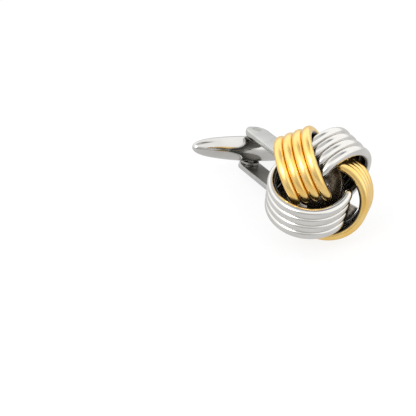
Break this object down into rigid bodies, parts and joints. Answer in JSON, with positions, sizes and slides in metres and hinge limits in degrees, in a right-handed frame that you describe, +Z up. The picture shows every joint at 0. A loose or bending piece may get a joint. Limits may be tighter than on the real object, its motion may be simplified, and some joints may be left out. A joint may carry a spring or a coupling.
{
  "type": "cufflink",
  "caption": "Wire-knot cufflink in gold and silver tones, with a forked post and a bullet-shaped bar that swivels in line to pass the buttonholes and across to hold the cuff.",
  "frame": {"origin": "under the middle of the box, on the surface that the cufflink lies on", "axes": "+Z up as it lies, +Y from the knot to the bar, +X to the right seen with the knot in front"},
  "size_m": [0.0174, 0.0252, 0.0152],
  "materials": {
    "gold_wire": "polished gold plate",
    "silver_wire": "polished rhodium plate",
    "dark_bowl": "polished, darkened",
    "satin_steel": "satin plate",
    "polished_bar": "polished",
    "spring_steel": "bright strip"
  },
  "bodies": {
    "knot_and_fork": {"gold_band_1_wire_outer": "gold_wire", "gold_band_1_wire_second": "gold_wire", "gold_band_1_wire_third": "gold_wire", "gold_band_1_wire_inner": "gold_wire", "silver_band_2_wire_outer": "silver_wire", "silver_band_2_wire_second": "silver_wire", "silver_band_2_wire_third": "silver_wire", "silver_band_2_wire_inner": "silver_wire", "gold_band_3_wire_outer": "gold_wire", "gold_band_3_wire_second": "gold_wire", "gold_band_3_wire_third": "gold_wire", "gold_band_3_wire_inner": "gold_wire", "silver_band_4_wire_outer": "silver_wire", "silver_band_4_wire_second": "silver_wire", "silver_band_4_wire_third": "silver_wire", "silver_band_4_wire_inner": "silver_wire", "knot_bowl": "dark_bowl", "back_plate": "satin_steel", "fork": "satin_steel", "hinge_pin": "satin_steel", "spacer_washer_upper": "satin_steel", "spacer_washer_lower": "satin_steel"},
    "swivel": {"swivel_bar": "polished_bar", "bar_end_plug": "polished_bar", "detent_spring": "spring_steel"}
  },
  "joints": [
    {"name": "bar_swivel", "type": "hinge", "parent": "knot_and_fork", "child": "swivel", "pos_m": [0.0003, 0.01081, 0.00321], "axis": [-0.3074, -0.1341, -0.9421], "range_deg": [0, 180], "deforming": ["detent_spring"]}
  ]
}
